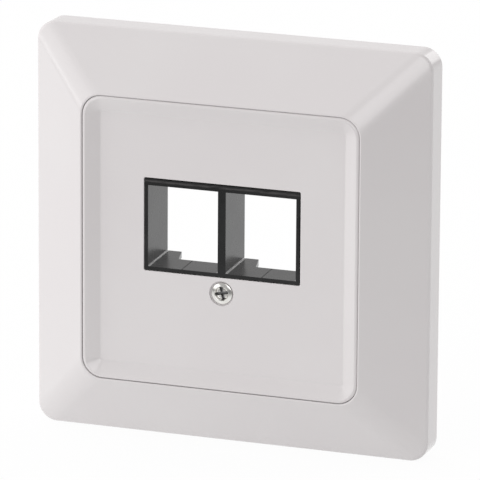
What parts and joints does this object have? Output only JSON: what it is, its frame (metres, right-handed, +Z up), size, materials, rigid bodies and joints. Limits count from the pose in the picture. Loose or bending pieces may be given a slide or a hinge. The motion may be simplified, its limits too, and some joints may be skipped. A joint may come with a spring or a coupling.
{
  "type": "keystone faceplate",
  "caption": "Square flush-mounting faceplate with a sloped cover frame, a dished centre plate held by a screw, and side-by-side openings for keystone modules.",
  "frame": {"origin": "midway between the box screws, on the wall plane at the back of the support ring", "axes": "+X to the right, +Y into the wall, +Z up"},
  "size_m": [0.08, 0.0142, 0.08],
  "materials": {
    "white_plastic": "moulded, glossy",
    "black_plastic": "moulded, satin",
    "zinc_plated_steel": "bright zinc plate",
    "nickel_plated_steel": "nickel plated",
    "brass": "turned",
    "rivet_steel": "set rivet"
  },
  "bodies": {
    "root": {"cover_frame": "white_plastic", "centre_plate": "white_plastic", "keystone_carrier": "black_plastic", "support_ring": "zinc_plated_steel", "centre_screw": "nickel_plated_steel", "threaded_insert": "brass", "carrier_rivet_upper_left": "rivet_steel", "carrier_rivet_upper_right": "rivet_steel", "carrier_rivet_lower_left": "rivet_steel", "carrier_rivet_lower_right": "rivet_steel"}
  },
  "joints": []
}
